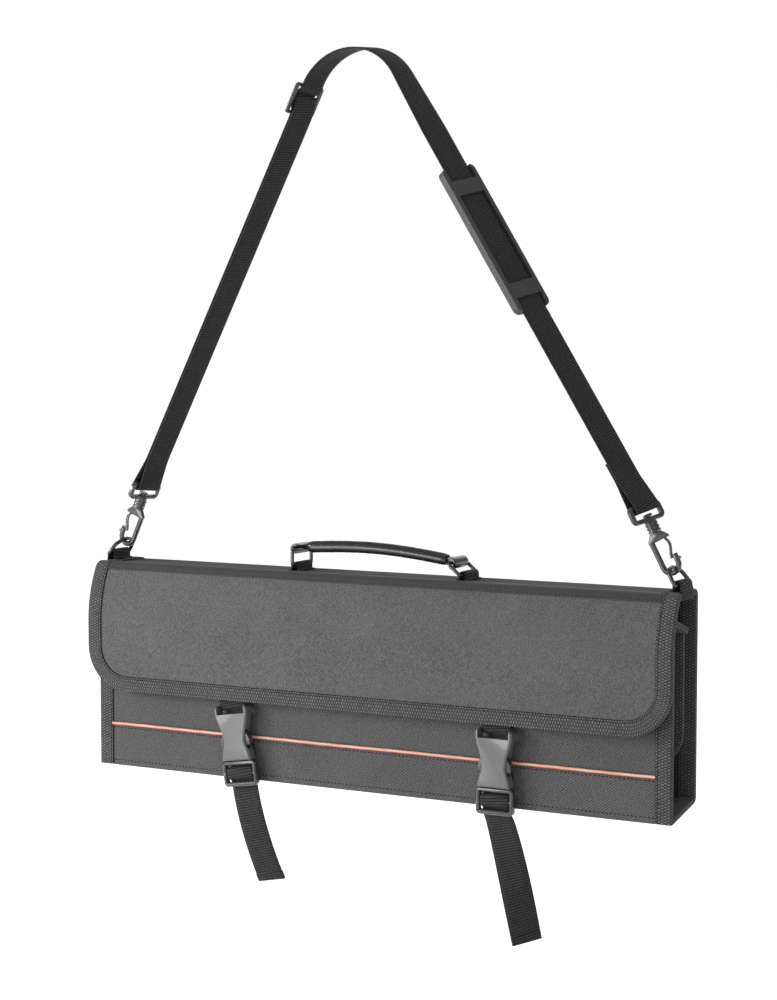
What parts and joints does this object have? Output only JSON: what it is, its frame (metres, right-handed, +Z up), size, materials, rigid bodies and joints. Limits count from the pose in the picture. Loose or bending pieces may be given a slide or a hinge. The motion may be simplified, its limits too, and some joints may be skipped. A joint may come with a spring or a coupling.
{
  "type": "hard chef knife case",
  "caption": "Stiffened cloth knife case with bound edges, piping, buckled front flap, tube handle and a padded shoulder strap on snap hooks.",
  "frame": {"origin": "the underside of the shoulder strap at its highest point, where the case hangs", "axes": "+X along the case to the right, +Y from the flap to the back panel, +Z up"},
  "size_m": [0.54, 0.0637, 0.721],
  "materials": {
    "cloth": "charcoal grey twill",
    "binding_tape": "ribbed dark grey tape",
    "lining": "plain dark lining",
    "board": "plain stiffener board",
    "felt": "pressed felt stiffener",
    "piping": "salmon orange cord piping",
    "elastic": "black ribbed elastic",
    "webbing": "black woven webbing",
    "buckle_plastic": "dark grey moulded plastic",
    "hook_plastic": "dark grey moulded plastic",
    "ring_metal": "dark nickel wire",
    "vinyl": "glossy black vinyl",
    "pad_rubber": "dark grey moulded rubber"
  },
  "bodies": {
    "strap": {"shoulder_webbing": "webbing", "hook_base_left": "hook_plastic", "hook_base_right": "hook_plastic", "strap_slider": "buckle_plastic"},
    "pad": {"shoulder_pad": "pad_rubber"},
    "left_hook": {"hook_left": "hook_plastic"},
    "right_hook": {"hook_right": "hook_plastic"},
    "left_gate": {"gate_left": "hook_plastic"},
    "right_gate": {"gate_right": "hook_plastic"},
    "case": {"shell_cloth": "cloth", "shell_lining": "lining", "bottom_board": "board", "back_board": "board", "top_board": "board", "shell_binding_left": "binding_tape", "shell_binding_right": "binding_tape", "elastic_low": "elastic", "elastic_high": "elastic", "handle_tab_left": "webbing", "handle_tab_right": "webbing", "dring_tab_left": "webbing", "dring_tab_right": "webbing"},
    "left_dring": {"dring_left": "ring_metal"},
    "right_dring": {"dring_right": "ring_metal"},
    "left_handle_ring": {"handle_ring_left": "ring_metal"},
    "right_handle_ring": {"handle_ring_right": "ring_metal"},
    "grip": {"handle_strap": "vinyl", "handle_tube": "vinyl"},
    "flap": {"flap_cloth": "cloth", "flap_lining": "lining", "flap_board": "felt", "flap_binding": "binding_tape", "fold_tape": "cloth", "socket_tab_left": "webbing", "socket_tab_right": "webbing", "buckle_socket_left": "buckle_plastic", "buckle_socket_right": "buckle_plastic"},
    "front_panel": {"front_cloth": "cloth", "front_lower_cloth": "cloth", "front_lining": "lining", "roof_board": "felt", "front_board": "felt", "piping": "piping", "front_binding_left": "binding_tape", "front_binding_right": "binding_tape", "closing_anchor_left": "webbing", "closing_anchor_right": "webbing"},
    "inner_flap": {"inner_flap_lining": "lining", "inner_flap_cloth": "cloth", "inner_flap_binding": "binding_tape"},
    "left_plug": {"buckle_plug_left": "buckle_plastic", "closing_tail_left": "webbing"},
    "right_plug": {"buckle_plug_right": "buckle_plastic", "closing_tail_right": "webbing"},
    "left_inner_prong": {"prong_left_inner": "buckle_plastic"},
    "left_outer_prong": {"prong_left_outer": "buckle_plastic"},
    "right_inner_prong": {"prong_right_inner": "buckle_plastic"},
    "right_outer_prong": {"prong_right_outer": "buckle_plastic"}
  },
  "joints": [
    {"name": "case_swing", "type": "hinge", "parent": "strap", "child": "case", "pos_m": [0, 0, -0.4122], "axis": [1, 0, 0], "range_deg": [-35, 35]},
    {"name": "left_hook_swivel", "type": "hinge", "parent": "strap", "child": "left_hook", "pos_m": [-0.2365, 0, -0.4122], "axis": [0.4067, 0, 0.9135], "range_deg": [-10, 10]},
    {"name": "right_hook_swivel", "type": "hinge", "parent": "strap", "child": "right_hook", "pos_m": [0.2765, 0, -0.4122], "axis": [-0.4695, 0, 0.8829], "range_deg": [-10, 10]},
    {"name": "left_gate_press", "type": "hinge", "parent": "left_hook", "child": "left_gate", "pos_m": [-0.23158, 0, -0.38516], "axis": [0, -1, 0], "range_deg": [0, 12], "stiffness_Nm_per_rad": 0.05, "springref_deg": -5.73},
    {"name": "right_gate_press", "type": "hinge", "parent": "right_hook", "child": "right_gate", "pos_m": [0.2697, 0, -0.38557], "axis": [0, 1, 0], "range_deg": [0, 12], "stiffness_Nm_per_rad": 0.05, "springref_deg": -5.73},
    {"name": "pad_slide", "type": "slide", "parent": "strap", "child": "pad", "axis": [0.528, 0, -0.8492], "range_m": [-0.015, 0.03]},
    {"name": "left_dring_tilt", "type": "hinge", "parent": "case", "child": "left_dring", "pos_m": [-0.24327, 0, -0.42038], "axis": [0, 1, 0], "range_deg": [-4, 2]},
    {"name": "right_dring_tilt", "type": "hinge", "parent": "case", "child": "right_dring", "pos_m": [0.28299, 0, -0.42051], "axis": [0, 1, 0], "range_deg": [-2, 4]},
    {"name": "handle_sway", "type": "hinge", "parent": "case", "child": "left_handle_ring", "pos_m": [-0.0565, 0, -0.4225], "axis": [0, 1, 0], "range_deg": [-5, 18]},
    {"name": "grip_turn", "type": "hinge", "parent": "left_handle_ring", "child": "grip", "pos_m": [-0.0565, 0, -0.4082], "axis": [0, 1, 0], "range_deg": [-25, 15]},
    {"name": "right_handle_ring_sway", "type": "hinge", "parent": "case", "child": "right_handle_ring", "pos_m": [0.1, 0, -0.4225], "axis": [0, 1, 0], "range_deg": [-15, 45]},
    {"name": "flap_fold", "type": "hinge", "parent": "case", "child": "flap", "pos_m": [0.02, -0.01765, -0.4259], "axis": [-1, 0, 0], "range_deg": [0, 115]},
    {"name": "front_panel_open", "type": "hinge", "parent": "case", "child": "front_panel", "pos_m": [0.02, -0.025, -0.6027], "axis": [1, 0, 0], "range_deg": [0, 12]},
    {"name": "inner_flap_swing", "type": "hinge", "parent": "front_panel", "child": "inner_flap", "pos_m": [0.02, 0.0051, -0.45995], "axis": [1, 0, 0], "range_deg": [-8, 4]},
    {"name": "left_buckle_release", "type": "slide", "parent": "front_panel", "child": "left_plug", "axis": [0.1478, 0, -0.989], "range_m": [0, 0.03], "deforming": ["prong_left_inner", "prong_left_outer"]},
    {"name": "right_buckle_release", "type": "slide", "parent": "front_panel", "child": "right_plug", "axis": [0, 0, -1], "range_m": [0, 0.03], "deforming": ["prong_right_inner", "prong_right_outer"]},
    {"name": "left_inner_prong_press", "type": "hinge", "parent": "left_plug", "child": "left_inner_prong", "pos_m": [-0.09049, -0.0327, -0.5845], "axis": [0, -1, 0], "range_deg": [0, 6], "stiffness_Nm_per_rad": 0.5, "springref_deg": -2.86},
    {"name": "left_outer_prong_press", "type": "hinge", "parent": "left_plug", "child": "left_outer_prong", "pos_m": [-0.10651, -0.0327, -0.5869], "axis": [0, 1, 0], "range_deg": [0, 6], "stiffness_Nm_per_rad": 0.5, "springref_deg": -2.86},
    {"name": "right_inner_prong_press", "type": "hinge", "parent": "right_plug", "child": "right_inner_prong", "pos_m": [0.1324, -0.0327, -0.5857], "axis": [0, 1, 0], "range_deg": [0, 6], "stiffness_Nm_per_rad": 0.5, "springref_deg": -2.86},
    {"name": "right_outer_prong_press", "type": "hinge", "parent": "right_plug", "child": "right_outer_prong", "pos_m": [0.1486, -0.0327, -0.5857], "axis": [0, -1, 0], "range_deg": [0, 6], "stiffness_Nm_per_rad": 0.5, "springref_deg": -2.86}
  ],
  "couplings": [
    {"joint": "grip_turn", "follows": "handle_sway", "ratio": -1.1},
    {"joint": "right_handle_ring_sway", "follows": "handle_sway", "ratio": 1.34},
    {"joint": "front_panel_open", "follows": "flap_fold", "ratio": 0.1},
    {"joint": "left_outer_prong_press", "follows": "left_inner_prong_press", "ratio": 1},
    {"joint": "right_outer_prong_press", "follows": "right_inner_prong_press", "ratio": 1}
  ]
}
